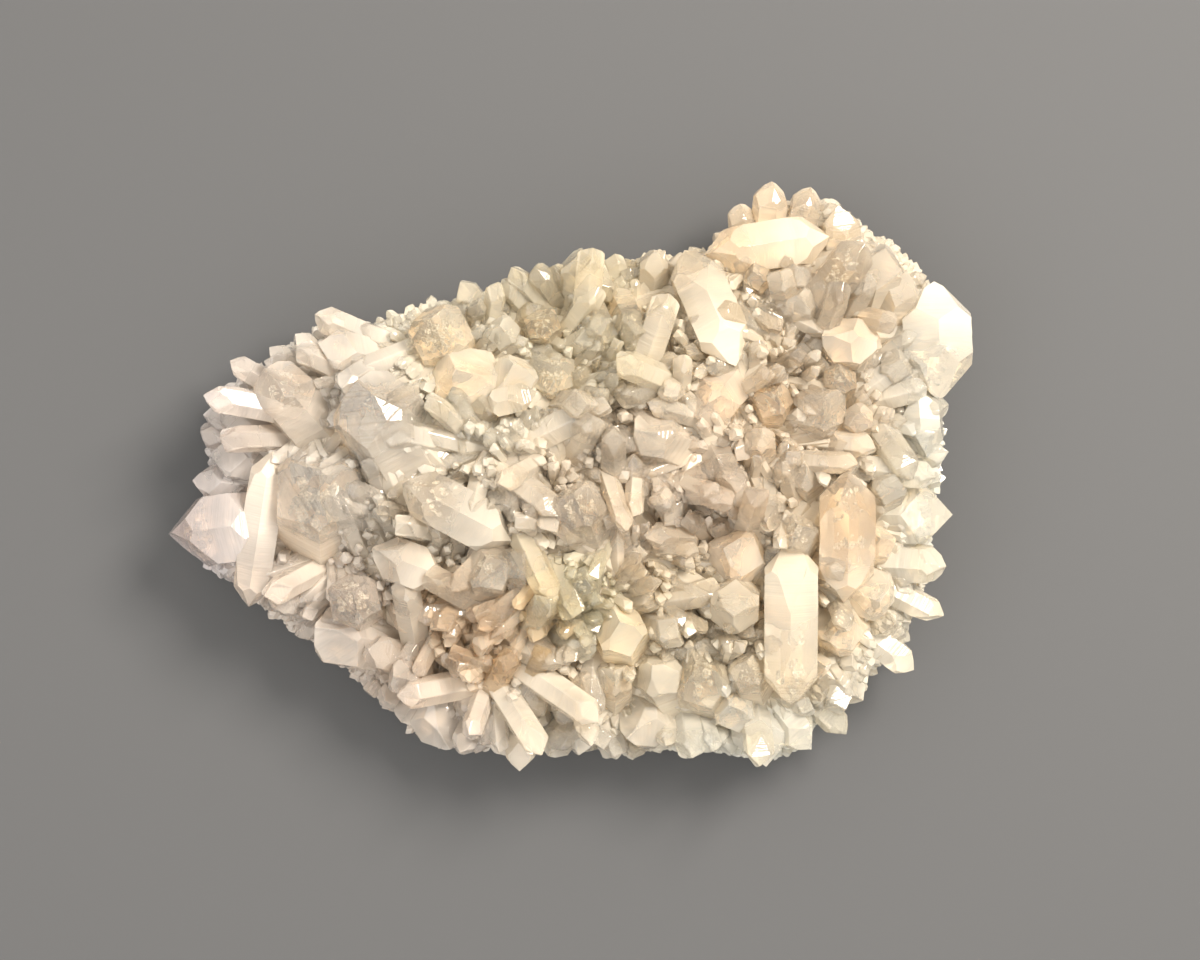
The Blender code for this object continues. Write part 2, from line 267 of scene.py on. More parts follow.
def veil(name):
    """A healed crack: a sheet of tiny bubbles, bright white where it catches light."""
    material = empty_material(name)
    place = node(material, "ShaderNodeTexCoord").outputs["Object"]
    bubbles = node(material, "ShaderNodeTexNoise", {}, {"Vector": place},
                   {"Scale": 1800.0, "Detail": 1.0})
    thin = node(material, "ShaderNodeMapRange", {}, {"Value": bubbles.outputs["Fac"]},
                {"From Min": 0.35, "From Max": 0.65, "To Min": 0.2, "To Max": 0.9})
    shader = node(material, "ShaderNodeBsdfPrincipled", {},
                  {"Transmission Weight": thin.outputs["Result"]},
                  {"Base Color": linear("#fbf6ea"), "Roughness": 0.25, "IOR": 1.3})
    output = material.node_tree.nodes["Material Output"]
    material.node_tree.links.new(shader.outputs["BSDF"], output.inputs["Surface"])
    return material


healed_crack = veil("healed_crack_in_quartz")

table_top = empty_material("pale_painted_board")
paint = node(table_top, "ShaderNodeBsdfPrincipled", {}, {},
             {"Base Color": linear("#4c4c4d"), "Roughness": 0.7})
board = table_top.node_tree.nodes["Material Output"]
table_top.node_tree.links.new(paint.outputs["BSDF"], board.inputs["Surface"])
floor.data.materials.append(table_top)
print("made", len(bpy.data.materials), "materials")

# %% [markdown]
# ## The bed, as the frame has it
# The rock is a flat slab with a broken edge. Its outline, swells and hollows are those of
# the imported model, so a point that is rooted here stands where the frame's point stands.

# %% Bed outline and height
# Height of the rock in its middle and at its rim, and of the rim's widest line
BED_HEIGHT = 29.0
RIM_HEIGHT = 15.0
BELLY_HEIGHT = 9.0
ROUGHNESS = 1.6
# From above, clockwise from the west end
OUTLINE = (
    (-83, -13), (-80, -4), (-78, 9), (-75, 21), (-66, 26), (-54, 34), (-44, 34),
    (-34, 37), (-21, 40), (-7, 44), (6, 47), (19, 49), (31, 50), (39, 56), (47, 62),
    (59, 62), (68, 56), (77, 49), (84, 40), (86, 29), (84, 18), (84, 7), (83, -4),
    (82, -15), (80, -26), (74, -38), (67, -46), (58, -53), (50, -61), (44, -62),
    (34, -60), (26, -59), (17, -61), (6, -60), (-5, -59), (-18, -60), (-29, -58),
    (-40, -50), (-48, -42), (-58, -34), (-68, -28), (-77, -20),
)
# Swells (positive) and hollows (negative): centre, radius, height
SWELLS = (
    (-38, 12, 24, 4.0),
    (-4, 2, 26, 3.0),
    (52, 36, 26, 3.0),
    (62, -16, 26, 3.0),
    (-30, -36, 11, -6.0),
    (30, -8, 11, -4.0),
    (-52, -14, 14, -2.0),
    (26, -30, 12, -3.0),
)


def rim_radius(angle):
    """Distance from the middle to the outline, in the direction of this angle."""
    ray = Vector((math.cos(angle), math.sin(angle)))
    for start, end in zip(OUTLINE, OUTLINE[1:] + OUTLINE[:1]):
        first = Vector(start)
        side = Vector(end) - first
        across = ray.cross(side)
        if abs(across) < 1e-9:
            continue
        reach = first.cross(side) / across
        share = first.cross(ray) / across
        if reach > 0 and 0 <= share <= 1:
            return reach
    raise ValueError("the outline doesn't go round the middle")


def rough(x, y, layer, grain=9.0):
    """A smooth random value from -1 to 1 that repeats for the same place."""
    return noise.noise(Vector((x / grain, y / grain, layer)))


def rim_share(x, y):
    """0 in the middle of the bed, 1 on its outline."""
    return math.hypot(x, y) / rim_radius(math.atan2(y, x))


def bed_height(x, y):
    height = RIM_HEIGHT + (BED_HEIGHT - RIM_HEIGHT) * (1.0 - min(rim_share(x, y), 1.0) ** 3)
    for centre_x, centre_y, radius, rise in SWELLS:
        away = math.hypot(x - centre_x, y - centre_y) / radius
        height += rise * math.exp(-away * away)
    return height + ROUGHNESS * rough(x, y, 0.0)


print("the bed is", round(bed_height(0.0, 0.0), 1), "mm high in the middle")

# %% [markdown]
# ## The points to grow
# A point is given by its tip, its foot, its width across the flats, its turn about its own
# axis and the letter of its finish: c for clear, m for milky. A rooted point's foot is sunk
# in the bed. A lying point rests across its neighbours, is pointed at both ends, and has
# the heights of its ends counted from the rock under them.

# %% Places of the big points, in millimetres
ROOTED_POINTS = (
    # West end
    (-78, -22, 11, -69, -17, 6.5, 20, "m"), (-53, 4, 46, -54, -9, 19.0, 5, "c"),
    (-67, 26, 37, -53, 9, 12.5, 12, "c"), (-46, 24, 47, -33, 2, 17.5, 24, "c"),
    (-77, 21, 27, -63, 6, 9.5, 0, "m"), (-75, 27, 22, -66, 20, 5.0, 10, "m"),
    (-81, 15, 22, -72, 12, 7.0, 30, "m"), (-80, 6, 24, -70, 3, 9.0, 14, "m"),
    (-84, 0, 19, -70, -2, 8.0, 5, "m"), (-64, -28, 14, -62, -21, 5.0, 18, "m"),
    # North-west
    (-56, 37, 25, -43, 33, 6.5, 0, "m"), (-55, 30, 33, -41, 26, 9.0, 9, "m"),
    (-66, 30, 24, -61, 24, 5.0, 0, "m"), (-60, 33, 25, -57, 26, 5.0, 22, "m"),
    (-28, 36, 39, -26, 28, 13.0, 15, "c"), (-23, 26, 43, -20, 19, 15.5, 2, "m"),
    (-11, 26, 41, -11, 18, 10.0, 26, "m"), (-2, 26, 40, -3, 21, 10.0, 11, "c"),
    (0, 15, 40, 1, 8, 7.0, 17, "c"), (-19, 18, 39, -16, 14, 6.5, 7, "c"),
    (-23, 9, 38, -21, 6, 6.5, 28, "c"), (-11, 46, 25, -9, 37, 6.5, 4, "m"),
    # North edge
    (4, 52, 30, 2, 37, 9.0, 12, "m"), (-2, 48, 29, -1, 38, 5.0, 25, "c"),
    (9, 31, 40, 6, 45, 6.5, 0, "c"), (16, 31, 41, 14, 47, 7.0, 14, "c"),
    (20, 51, 28, 20, 42, 6.5, 3, "m"), (39, 62, 24, 40, 52, 5.5, 13, "m"),
    (33, 55, 23, 38, 51, 5.0, 0, "m"), (46, 67, 25, 47, 54, 7.0, 21, "m"),
    (55, 66, 24, 56, 56, 6.5, 9, "m"), (41, 46, 36, 45, 42, 5.5, 19, "c"),
    (47, 46, 38, 49, 38, 6.0, 1, "m"), (51, 41, 38, 54, 34, 7.0, 10, "m"),
    # North-east
    (66, 52, 43, 52, 34, 9.0, 5, "c"), (73, 34, 38, 60, 37, 5.0, 0, "c"),
    (61, 62, 27, 74, 51, 8.0, 7, "m"), (71, 52, 35, 69, 38, 10.0, 0, "m"),
    (86, 17, 27, 79, 14, 5.5, 23, "c"), (86, 6, 26, 79, 5, 5.5, 8, "m"),
    (76, 47, 31, 84, 38, 8.0, 2, "m"),
    # Middle
    (11, 12, 45, 11, -5, 5.5, 0, "c"), (2, -2, 49, 6, -13, 11.0, 10, "c"),
    (15, 12, 42, 27, 7, 11.0, 18, "m"), (28, 12, 38, 40, 25, 11.0, 7, "m"),
    (26, 27, 38, 18, 20, 6.0, 0, "c"), (46, 20, 39, 46, 14, 8.0, 27, "c"),
    (57, 19, 41, 56, 12, 11.0, 13, "c"), (65, 15, 37, 64, 10, 6.5, 5, "m"),
    (38, -4, 38, 32, 10, 7.0, 9, "c"), (33, -8, 33, 26, 2, 5.0, 0, "c"),
    (45, -12, 37, 45, 4, 4.5, 24, "c"), (43, 12, 37, 43, 1, 7.0, 6, "m"),
    (31, -11, 31, 42, -9, 5.0, 11, "c"), (34, -14, 39, 41, -19, 12.0, 20, "m"),
    (18, 0, 36, 17, -5, 4.5, 16, "c"), (-6, 17, 37, -6, 5, 4.0, 8, "c"),
    (-9, 5, 38, -5, -4, 7.0, 15, "c"), (19, -26, 34, 12, -17, 7.0, 4, "c"),
    # East
    (51, -9, 42, 52, -16, 8.0, 19, "c"), (62, -33, 35, 60, -24, 5.0, 7, "c"),
    (58, -36, 33, 74, -36, 11.0, 10, "m"), (58, -41, 30, 60, -46, 5.0, 22, "m"),
    (88, -8, 27, 72, -8, 13.0, 0, "m"), (86, -19, 26, 68, -18, 8.0, 14, "m"),
    (70, -26, 33, 81, -30, 11.5, 3, "m"), (85, -31, 21, 78, -25, 5.5, 17, "m"),
    (79, -43, 20, 72, -35, 6.5, 8, "m"), (73, 2, 33, 75, -7, 8.0, 11, "m"),
    # South-west
    (-46, -24, 40, -46, -30, 11.0, 12, "c"), (-31, -20, 39, -15, -29, 6.0, 0, "c"),
    (-17, -16, 43, -16, -22, 11.0, 21, "c"), (-9, -15, 42, -9, -23, 9.0, 9, "c"),
    (-35, -21, 36, -36, -49, 6.5, 0, "m"), (-43, -37, 31, -40, -47, 7.5, 16, "m"),
    (-38, -43, 31, -34, -51, 7.5, 2, "m"), (-56, -33, 31, -46, -44, 13.0, 7, "m"),
    (-58, -28, 27, -54, -22, 10.0, 24, "c"), (-24, -61, 22, -33, -47, 14.0, 10, "m"),
    (-37, -55, 20, -33, -49, 8.0, 1, "m"),
    # South
    (8, -36, 36, -5, -35, 8.0, 6, "c"), (12, -30, 41, 13, -37, 11.0, 14, "m"),
    (-4, -36, 36, -9, -50, 4.5, 0, "c"), (-11, -37, 35, -18, -50, 5.0, 18, "c"),
    (11, -41, 34, 11, -49, 8.0, 4, "m"), (-4, -42, 32, -4, -56, 6.5, 11, "m"),
    (4, -43, 33, 4, -52, 8.0, 25, "m"), (-16, -60, 24, -16, -52, 6.5, 8, "m"),
    (-10, -66, 21, -9, -53, 6.5, 13, "m"), (-4, -62, 24, 4, -56, 7.5, 0, "m"),
    (-2, -51, 31, 6, -57, 6.0, 19, "c"), (5, -21, 42, 3, -27, 8.0, 3, "c"),
    (-14, -31, 36, -9, -36, 5.0, 22, "c"),
    # South-east
    (37, -30, 42, 38, -25, 11.0, 9, "m"), (23, -23, 34, 34, -26, 6.5, 0, "c"),
    (22, -28, 31, 30, -30, 5.0, 12, "c"), (29, -40, 37, 31, -47, 13.0, 5, "c"),
    (40, -39, 36, 42, -48, 8.0, 20, "c"), (36, -50, 31, 43, -56, 9.0, 2, "m"),
    (19, -40, 35, 25, -49, 10.0, 15, "m"), (13, -58, 27, 23, -51, 12.0, 7, "m"),
    (45, -66, 23, 45, -53, 13.0, 0, "m"), (56, -61, 22, 50, -52, 8.0, 17, "m"),
    (68, -50, 20, 61, -44, 8.0, 6, "m"), (29, -61, 24, 30, -53, 7.0, 23, "m"),
    # Between the others
    (-5, 36, 37, -4, 31, 7.5, 8, "c"), (-14, 34, 36, -12, 30, 7.0, 21, "m"),
    (3, 24, 36, 4, 20, 6.5, 2, "c"), (-30, 13, 36, -27, 9, 8.0, 10, "m"),
    (-13, 8, 36, -12, 3, 6.5, 26, "c"), (53, 4, 37, 53, -2, 8.5, 5, "m"),
    (60, 9, 36, 61, 5, 6.5, 14, "c"), (74, 27, 33, 74, 23, 7.0, 22, "m"),
    (70, -12, 33, 68, -16, 7.5, 4, "m"), (22, -3, 32, 24, 3, 6.0, 19, "c"),
    (61, 24, 38, 60, 19, 7.5, 9, "c"), (20, 36, 37, 20, 31, 7.0, 6, "m"),
)
LYING_POINTS = (
    (-90, -13, 1.5, -60, -9, 2, 15.0, 4, "m"), (-70, -29, 8, -64, 7, 6, 8.0, 0, "m"),
    (-5, 19, 9, -18, 16, 2, 6.0, 0, "c"), (26, 52, 11, 38, 24, 5, 11.0, 6, "m"),
    (30, 49, 12, 60, 54, 5, 10.5, 4, "m"), (55, 32, 10, 71, 28, 3, 10.0, 16, "m"),
    (83, 16, 9, 82, 46, 4, 15.0, 0, "m"), (80, 4, 9, 79, 22, 3, 8.0, 12, "m"),
    (-36, 0, 11, -10, -14, 3, 11.0, 3, "c"), (17, -12, 7, 31, -13, -1, 6.0, 0, "c"),
    (62, 3, 13, 62, -29, 4, 12.0, 0, "c"), (50, -51, 11, 50, -12, 5, 11.5, 4, "c"),
    (-43, -15, 10, -25, -22, 3, 9.5, 5, "m"),
)
# How deep a foot is sunk in the rock, and how much more for the width of a leaning point
ROOT_DEPTH = 2.5
SINK_SHARE = 0.45
# How far out from the middle a foot may be, as a share of the outline, and how far over
# the table its lower edge stays
ROOT_SHARE = 0.84
TABLE_GAP = 1.5


def rooted(x, y):
    """A foot that would come out of the broken wall is drawn in under the bed."""
    pull = min(ROOT_SHARE / max(rim_share(x, y), 1e-6), 1.0)
    return x * pull, y * pull


def big_places():
    """Foot, tip, width, turn, finish and whether both ends are pointed, for each big point."""
    for tip_x, tip_y, tip_z, foot_x, foot_y, width, turn, look in ROOTED_POINTS:
        foot_x, foot_y = rooted(foot_x, foot_y)
        rock_z = bed_height(foot_x, foot_y)
        run = math.hypot(tip_x - foot_x, tip_y - foot_y)
        leaning = run / math.hypot(tip_z - rock_z, run)
        sunk = rock_z - ROOT_DEPTH - SINK_SHARE * width * leaning
        lowest = 0.5 * width * leaning + TABLE_GAP
        foot = Vector((foot_x, foot_y, max(sunk, lowest)))
        yield foot, Vector((tip_x, tip_y, tip_z)), width, turn, look, False
    for tip_x, tip_y, tip_lift, foot_x, foot_y, foot_lift, width, turn, look in LYING_POINTS:
        foot = Vector((foot_x, foot_y, bed_height(foot_x, foot_y) + foot_lift))
        tip = Vector((tip_x, tip_y, bed_height(tip_x, tip_y) + tip_lift))
        yield foot, tip, width, turn, look, True


BIG = list(big_places())
print(len(BIG), "big points")

# %% [markdown]
# ## One point, modelled as a pattern
# A point starts as a six-sided cylinder. Its end is cut six times with a slanted plane: a
# line square to an end face of quartz leans 51.8 degrees from the long axis, and because
# no two faces grow at one speed, each plane cuts at its own depth. Rings around the shaft
# with small changes of width give the steps of growth, and the end faces of the larger
# patterns are broken up into low facets. All but the small ones have a narrow bevel, which
# catches light along the edges. Each pattern is one unit wide with its tip just under the
# origin, so that copies keep their angles while only the shaft grows longer.

# %% Patterns for the points
END_FACE_LEAN = math.radians(51.8)
# In units of the point's width: how long a pattern is, where its end stops and the plain
# shaft starts, and how wide it is at its foot
SHAFT = 2.0
NECK = -0.75
FOOT_WIDTH = 1.05
END_FACES = 6
SMALL_FACE_SHARE = 0.06


def select_edges(mesh, wanted):
    """Selects the edges that pass a test, in edit mode."""
    bm = bmesh.from_edit_mesh(mesh)
    bm.select_mode = {"EDGE"}
    for part in (bm.verts, bm.edges, bm.faces):
        for item in part:
            item.select = False
    for edge in bm.edges:
        if wanted(edge):
            edge.select = True
    bm.select_flush_mode()
    bmesh.update_edit_mesh(mesh)


def cut_end(draw, way, unevenness):
    for side in range(END_FACES):
        angle = math.radians(60.0 * side + 30.0)
        lean = math.sin(END_FACE_LEAN)
        # Three of the six end faces grow large and meet in the tip
        share = SMALL_FACE_SHARE * draw.random() if side % 2 else 0.35 + 0.65 * draw.random()
        depth = unevenness * share
        tip_z = -depth if way > 0 else -SHAFT + depth
        bpy.ops.mesh.select_all(action="SELECT")
        bpy.ops.mesh.bisect(
            plane_co=(0.0, 0.0, tip_z), use_fill=True, clear_outer=True, threshold=1e-6,
            plane_no=(lean * math.cos(angle), lean * math.sin(angle), way * math.cos(END_FACE_LEAN)),
        )


def crackled(mesh, cuts, amount, seed):
    """Breaks up the end faces into low, uneven facets."""
    bm = bmesh.from_edit_mesh(mesh)
    bm.select_mode = {"FACE"}
    for face in bm.faces:
        face.select = abs(face.normal.z) > 0.35 and face.calc_center_median().z > -SHAFT + 1e-3
    bm.select_flush_mode()
    bmesh.update_edit_mesh(mesh)
    bpy.ops.mesh.subdivide(number_cuts=cuts, fractal=amount, fractal_along_normal=1.0, seed=seed)


def pattern(name, rows, unevenness, seed, both_ends=False, bevel=0.0, step=0.0, waist=0.94,
            crackle=0.0):
    """One point of unit width: its corners, its triangles and how long its lower end is.
    It has this many rows of growth steps, and waist is how wide its shaft is at the tip."""
    draw = random.Random(seed)
    nothing_selected()
    bpy.ops.mesh.primitive_cylinder_add(
        vertices=6, radius=1.0 / math.sqrt(3.0), depth=SHAFT, location=(0.0, 0.0, -0.5 * SHAFT),
        rotation=(0.0, 0.0, 0.0), end_fill_type="NGON",
    )
    point = bpy.context.object
    point.name = name
    bpy.ops.object.transform_apply(location=True, rotation=True, scale=True)
    bpy.ops.object.mode_set(mode="EDIT")
    if rows:
        select_edges(point.data, lambda edge: abs(edge.verts[0].co.z - edge.verts[1].co.z) > 1.0)
        bpy.ops.mesh.subdivide(number_cuts=rows)
        bm = bmesh.from_edit_mesh(point.data)
        for row in range(rows + 2):
            row_z = -SHAFT * row / (rows + 1)
            width = waist + (FOOT_WIDTH - waist) * row / (rows + 1)
            width += step * draw.uniform(-1.0, 1.0)
            ring = [vert for vert in bm.verts if abs(vert.co.z - row_z) < 1e-4]
            for vert in ring:
                vert.co.x *= width
                vert.co.y *= width
        bmesh.update_edit_mesh(point.data)
    cut_end(draw, 1.0, unevenness)
    if both_ends:
        cut_end(draw, -1.0, unevenness)
    if crackle:
        bpy.ops.mesh.select_mode(type="FACE")
        crackled(point.data, 2, crackle, seed)
    bpy.ops.object.mode_set(mode="OBJECT")
    if bevel:
        edges = point.modifiers.new("worn_edges", "BEVEL")
        edges.limit_method = "ANGLE"
        edges.angle_limit = math.radians(35.0)
        edges.width = bevel
        edges.segments = 1
        bpy.ops.object.modifier_apply(modifier=edges.name)
    flat = point.modifiers.new("triangles", "TRIANGULATE")
    bpy.ops.object.modifier_apply(modifier=flat.name)
    corners = np.array([vert.co for vert in point.data.vertices], float)
    triangles = np.array([face.vertices for face in point.data.polygons], int)
    bpy.data.objects.remove(point, do_unlink=True)
    print(name, len(triangles), "triangles")
    return corners, triangles, -NECK if both_ends else 0.0


BIG_PATTERNS = [
    pattern(f"big_point_{kind}", 26, 0.22 + 0.05 * (kind % 3), 11 + kind,
            bevel=0.022, step=0.007, crackle=0.022)
    for kind in range(5)
]
LYING_PATTERNS = [
    pattern(f"lying_point_{kind}", 26, 0.2, 31 + kind, both_ends=True,
            bevel=0.022, step=0.008, waist=1.0, crackle=0.022)
    for kind in range(3)
]
MEDIUM_PATTERNS = [pattern(f"medium_point_{kind}", 0, 0.3, 51 + kind, bevel=0.03)
                   for kind in range(5)]
SMALL_PATTERNS = [pattern(f"small_point_{kind}", 0, 0.3, 71 + kind) for kind in range(5)]

# %% [markdown]
# ## Colour by place
# The cluster isn't one colour. Its west end is a cool grey, which is painted shade, the
# middle is cream, the east and south rims are almost white, the east partly with painted
# light, and the hollows hold iron stain and painted shade. A few patches of colour, each
# with a centre and a reach, are blended to colour every point.

# %% Tints with painted light and shade: centre and reach in millimetres, and colour
# The cool greys of the west end are painted shade and the near whites of the east rim are partly
# painted light; the rest is the quartz's own cream and iron stain
TINTS_AND_PAINTED_LIGHT = (
    (-84, -12, 14, "#e0d9dc"), (-80, 8, 18, "#ece5e2"), (-56, 10, 22, "#f2ebe0"),
    (-60, -26, 18, "#efe4d8"), (-44, -44, 16, "#efe3d6"), (-22, 24, 20, "#f6efda"),
    (-30, -4, 16, "#f3ead8"), (6, 38, 18, "#f4eacc"), (32, 40, 18, "#f3e6cc"),
    (56, 52, 16, "#f2e4cc"), (64, 34, 16, "#f3e6cf"), (84, 30, 12, "#faf6ea"),
    (88, -6, 14, "#fbf7ea"), (76, -36, 14, "#f9f2e0"), (48, 12, 18, "#f2e2c8"),
    (28, 0, 14, "#f0dfc9"), (8, 0, 18, "#f5e8d2"), (62, -14, 16, "#f5ead4"),
    (50, -34, 16, "#f3e6cb"), (4, -27, 10, "#fff2d0"), (-5, -32, 7, "#f8d9a2"),
    (-26, -36, 13, "#f2d8b4"), (24, -26, 12, "#efe0c2"), (20, -44, 14, "#f5ead0"),
    (44, -62, 18, "#fbf7ea"), (0, -60, 16, "#f7f0e0"), (-24, -58, 12, "#f0e6da"),
    (4, -46, 8, "#f0e0c4"), (68, 60, 14, "#f6eeda"),
)
TINT_PLACES = np.array([entry[:2] for entry in TINTS_AND_PAINTED_LIGHT], float)
TINT_REACH = np.array([entry[2] for entry in TINTS_AND_PAINTED_LIGHT], float)
# All of it is a touch warmer than TINTS_AND_PAINTED_LIGHT says, and nothing is whiter than WHITEST
WARMTH = (1.02, 1.0, 0.99)
WHITEST = 0.96
LISTED_COLOURS = np.array([linear(entry[3])[:3] for entry in TINTS_AND_PAINTED_LIGHT])
TINT_AND_LIGHT_COLOURS = np.minimum(LISTED_COLOURS * WARMTH, WHITEST)
# The colour down in the gaps, part iron stain and part painted shade. Towards the rim, from
# the first share of the outline over the second, it gets weaker by FADE
HOLLOW_STAIN_AND_SHADE = np.array(linear("#f8e3c2")[:3])
FADE_FROM = 0.86
FADE_OVER = 0.12
FADE = 0.7


def colour_with_painted_light_at(x, y, depth):
    """The linear colour of quartz at this place, painted light included. depth is how far
    down in the gaps it is, from 0 to 1, and brings in the gaps' iron stain and painted shade."""
    away = np.hypot(TINT_PLACES[:, 0] - x, TINT_PLACES[:, 1] - y) / TINT_REACH
    weight = np.exp(-2.0 * away * away) + 1e-6
    colour = (weight[:, None] * TINT_AND_LIGHT_COLOURS).sum(axis=0) / weight.sum()
    rim = min(max((rim_share(x, y) - FADE_FROM) / FADE_OVER, 0.0), 1.0)
    # The deeper in the gaps, the more iron stain and painted shade
    return colour + (HOLLOW_STAIN_AND_SHADE - colour) * depth * (1.0 - FADE * rim)


# %% [markdown]
# ## Copies of the points
# A copy is its pattern at the point's width, with the shaft drawn out to its length, then
# turned along the line from foot to tip. All copies of one finish are joined in one mesh.
# The mesh keeps, for every corner, its colour with painted light, which towards the root
# takes the iron stain and painted shade of the gaps, its luck, how far along the point it
# lies in millimetres, and how milky it is: a point is milky at its root and on its underside.

# %% Growing a piece
# A corner's milk is the larger of two: UNDERSIDE_MILK times how far it faces down, and
# ROOT_MILK times its share of the way to the root, less TIP_CLEAR. CLEARER is then taken
# off, which makes the whole cluster clearer
UNDERSIDE_MILK = 1.1
ROOT_MILK = 1.6
TIP_CLEAR = 0.5
CLEARER = 0.23


def placed(design, foot, tip, width, turn, flat):
    """One copy: its corners in millimetres, and how far along the point each one lies, in
    millimetres and as a share of its length, and how milky it is there."""
    corners = design[0] * width
    corners[:, 0] *= flat
    axis = tip - foot
    length = axis.length
    # Both ends keep their shape, and only the shaft between them is drawn out
    neck = NECK * width
    tail = design[2] * width
    shaft = (SHAFT + NECK) * width - tail
    stretch = max((length + neck - tail) / shaft, 0.15)
    drawn = np.clip(neck - corners[:, 2], 0.0, shaft)
    corners[:, 2] -= drawn * (stretch - 1.0)
    along = -corners[:, 2]
    aim = axis.to_track_quat("Z", "Y").to_matrix() @ Matrix.Rotation(math.radians(turn), 3, "Z")
    spokes = corners * (1.0, 1.0, 0.0) @ np.array(aim).T
    below = -spokes[:, 2] / np.maximum(np.linalg.norm(spokes, axis=1), 0.1 * width)
    root = np.clip(along / max(length, 1e-6), 0.0, 1.0)
    milk = np.maximum(UNDERSIDE_MILK * below, ROOT_MILK * root - TIP_CLEAR)
    milk = np.clip(milk, 0.0, 1.0) - CLEARER
    return corners @ np.array(aim).T + np.array(tip), along, root, milk


def grow(name, places, material):
    """places are (pattern, foot, tip, width, turn, luck, how flat)."""
    corners, triangles, tints_and_light, lucks, alongs, milks = [], [], [], [], [], []
    count = 0
    for design, foot, tip, width, turn, luck, flat in places:
        spots, along, root, milk = placed(design, foot, tip, width, turn, flat)
        middle = 0.5 * (foot + tip)
        colour = colour_with_painted_light_at(tip.x, tip.y, 0.0)
        # Towards its root a point takes the gaps' colour: iron stain and painted shade
        deep = colour_with_painted_light_at(middle.x, middle.y, 0.5)
        share = root[:, None] ** 1.5
        corners.append(spots)
        triangles.append(design[1] + count)
        tints_and_light.append(colour * (1.0 - share) + deep * share)
        lucks.append(np.full(len(spots), luck))
        alongs.append(along)
        milks.append(milk)
        count += len(spots)
    corners = np.concatenate(corners) * MM
    triangles = np.concatenate(triangles)
    tints_and_light = np.concatenate(tints_and_light)
    mesh = bpy.data.meshes.new(name)
    mesh.from_pydata(corners.tolist(), [], triangles.tolist())
    colour = mesh.attributes.new("tint_and_painted_light", "FLOAT_VECTOR", "POINT")
    colour.data.foreach_set("vector", tints_and_light.ravel())
    for label, values in (("luck", lucks), ("along", alongs), ("milk", milks)):
        layer = mesh.attributes.new(label, "FLOAT", "POINT")
        layer.data.foreach_set("value", np.concatenate(values))
    piece = bpy.data.objects.new(name, mesh)
    bpy.context.scene.collection.objects.link(piece)
    print(name, len(places), "points,", len(triangles), "triangles")
    return finished(piece, material)


# %% The big points
# The steps of growth stand out a little, so a point is a hair thinner than the frame's
THINNER = 0.99
draw = random.Random(3)
big = {"c": [], "m": []}
for foot, tip, width, turn, look, both_ends in BIG:
    design = draw.choice(LYING_PATTERNS if both_ends else BIG_PATTERNS)
    turn += 60 * draw.randrange(6)
    big[look].append((design, foot, tip, width * THINNER, turn, draw.random(), 1.0))
clear_points = grow("big_clear_points", big["c"], clear_quartz)
milky_points = grow("big_milky_points", big["m"], milky_quartz)

# %% [markdown]
# ## The bed
# The rock starts as a ball with many faces, pressed into the bed's outline: its lower pole
# becomes the flat underside, the part below its waist the broken wall, and all above that
# the top that the points stand on. Noise then breaks up the wall and the top.

# %% The rock
SEGMENTS = 240
RINGS = 120
UNDERSIDE_SHARE = 0.84
nothing_selected()
bpy.ops.mesh.primitive_uv_sphere_add(segments=SEGMENTS, ring_count=RINGS, radius=1.0)
bed = bpy.context.object
bed.name = "bed_of_quartz_rock"
# Where the wall's rings lie: how far up the ball, then share of the outline, then height
PROFILE_UP = (0.0, 0.18, 0.26, 0.34, 0.42, 1.0)
PROFILE_SHARE = (0.0, UNDERSIDE_SHARE, 0.95, 1.0, 0.965, 0.0)
WALL_HEIGHT = (0.0, 0.0, 3.2, BELLY_HEIGHT, RIM_HEIGHT)


def pressed(corner):
    """Where a corner of the ball goes, in millimetres."""
    angle = math.atan2(corner.y, corner.x)
    up = 1.0 - math.acos(max(-1.0, min(1.0, corner.z))) / math.pi
    share = float(np.interp(up, PROFILE_UP, PROFILE_SHARE))
    reach = rim_radius(angle) * share
    x, y = reach * math.cos(angle), reach * math.sin(angle)
    if up < PROFILE_UP[4]:
        low_part = float(np.interp(up, PROFILE_UP[:5], WALL_HEIGHT))
        top_part = bed_height(x, y)
        blend = max(0.0, (up - PROFILE_UP[3]) / (PROFILE_UP[4] - PROFILE_UP[3]))
        z = low_part + (top_part - low_part) * blend
    else:
        z = bed_height(x, y)
    return Vector((x, y, z))


# Height and size of the lumps, the chips and the sugary grain, in millimetres, and how far
# the rock is drawn in for them. The lowest FLAT_PART of it is hardly broken
LUMPS = (1.6, 6.0)
CHIPS = (1.1, 3.4)
GRAIN = (0.35, 0.9)
DRAWN_IN = 0.6
FLAT_PART = 3.0


def broken(spot):
    """Pushes a place on the rock in or out: lumps, chips and sugary grain."""
    lumps = LUMPS[0] * noise.noise(spot / LUMPS[1])
    cells, _ = noise.voronoi(spot / CHIPS[1])
    chips = CHIPS[0] * (cells[1] - cells[0])
    grain = GRAIN[0] * noise.noise(spot / GRAIN[1])
    away = Vector((0.0, 0.0, 1.0))
    if spot.z < RIM_HEIGHT:
        away = Vector((spot.x, spot.y, 0.0)).normalized()
    strength = min(spot.z / FLAT_PART, 1.0)
    return spot + away * (lumps - chips + grain - DRAWN_IN) * strength


